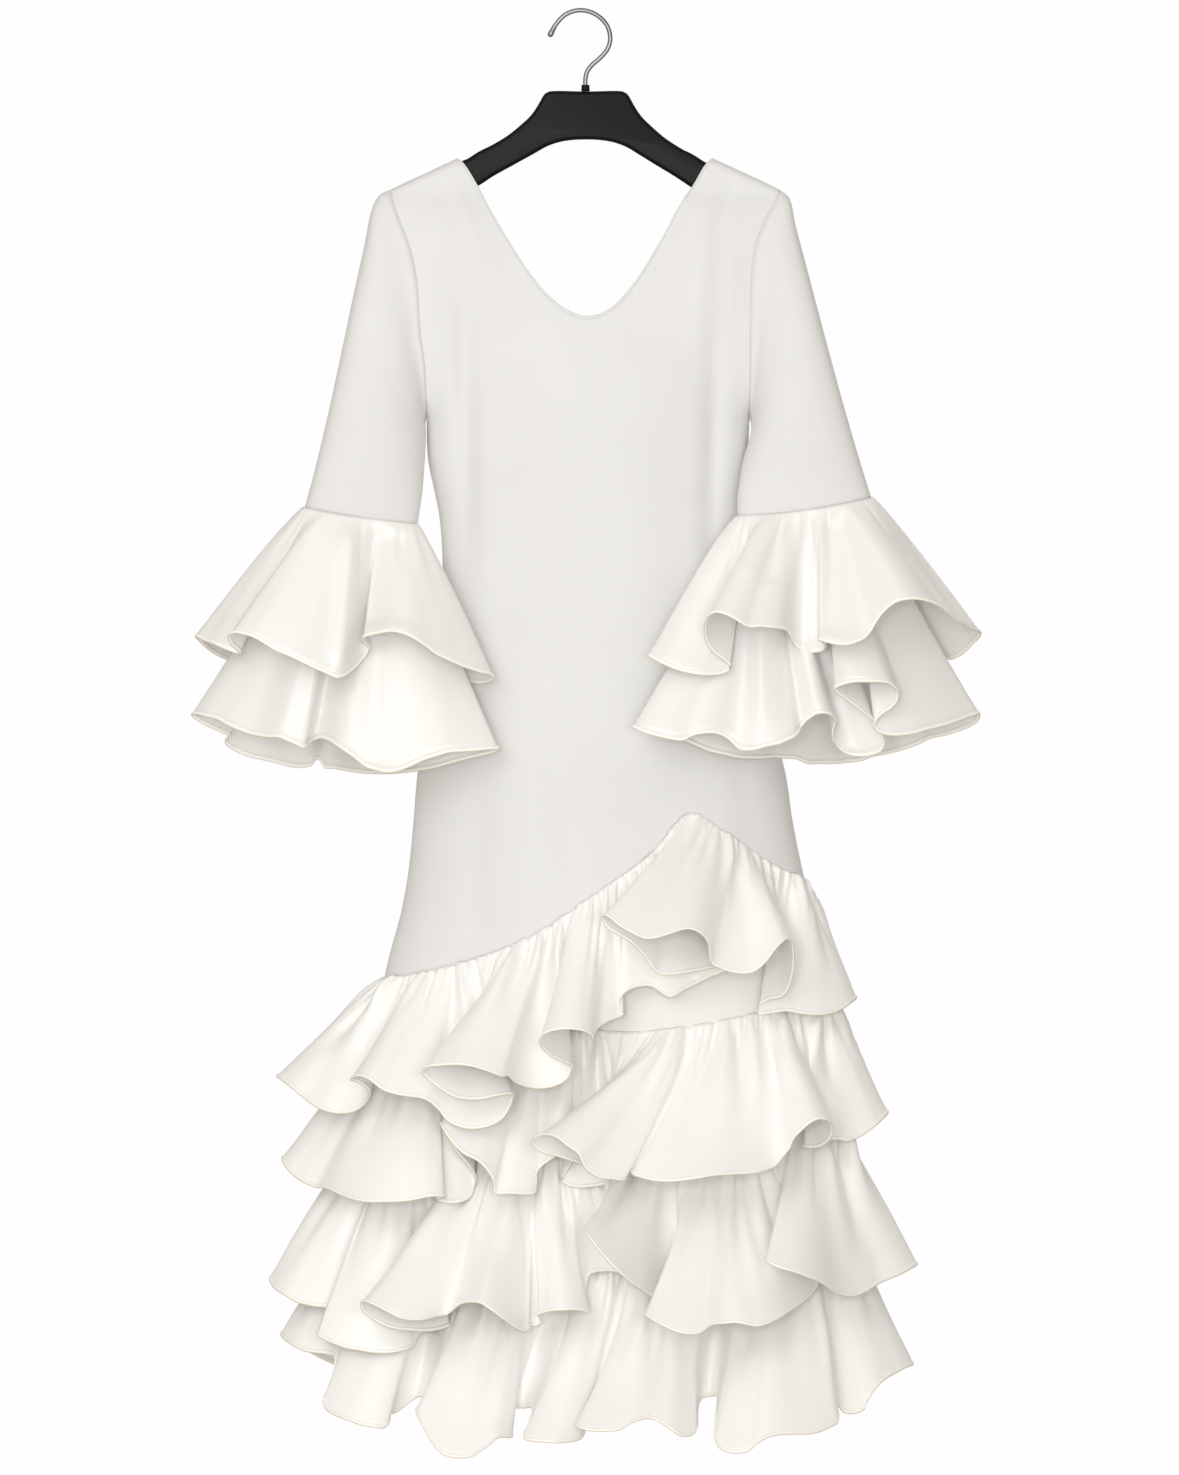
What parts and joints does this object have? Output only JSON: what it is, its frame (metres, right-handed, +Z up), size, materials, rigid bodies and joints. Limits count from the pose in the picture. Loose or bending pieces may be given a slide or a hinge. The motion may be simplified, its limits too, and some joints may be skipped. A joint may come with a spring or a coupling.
{
  "type": "flamenco dress on hanger",
  "caption": "Long fitted V-neck flamenco dress with tiered skirt ruffles and double-flounced sleeves, hanging on a plain hanger",
  "frame": {"origin": "the hook's seat: the inner top of the hook's wire, where the rail touches it", "axes": "+Z up, +X to the dress's right side in front view, -Y is the way the front faces; the dress's middle line is 5 mm right of the seat"},
  "size_m": [0.7888, 0.391, 1.4408],
  "materials": {
    "ivory_crepe": "smooth ivory stretch crepe with a soft sheen",
    "black_plastic": "satin black moulded plastic with bevelled edges",
    "hook_steel": "satin steel wire"
  },
  "bodies": {
    "root": {"front_panel": "ivory_crepe", "back_panel": "ivory_crepe", "skirt_foundation_front": "ivory_crepe", "skirt_foundation_back": "ivory_crepe", "skirt_ruffle_1": "ivory_crepe", "skirt_ruffle_2": "ivory_crepe", "skirt_ruffle_3": "ivory_crepe", "skirt_ruffle_4": "ivory_crepe", "left_sleeve": "ivory_crepe", "right_sleeve": "ivory_crepe", "left_cuff_flounce_upper": "ivory_crepe", "left_cuff_flounce_lower": "ivory_crepe", "right_cuff_flounce_upper": "ivory_crepe", "right_cuff_flounce_lower": "ivory_crepe", "hanger_body": "black_plastic", "hanger_collar": "black_plastic", "hanger_hook": "hook_steel"}
  },
  "joints": []
}
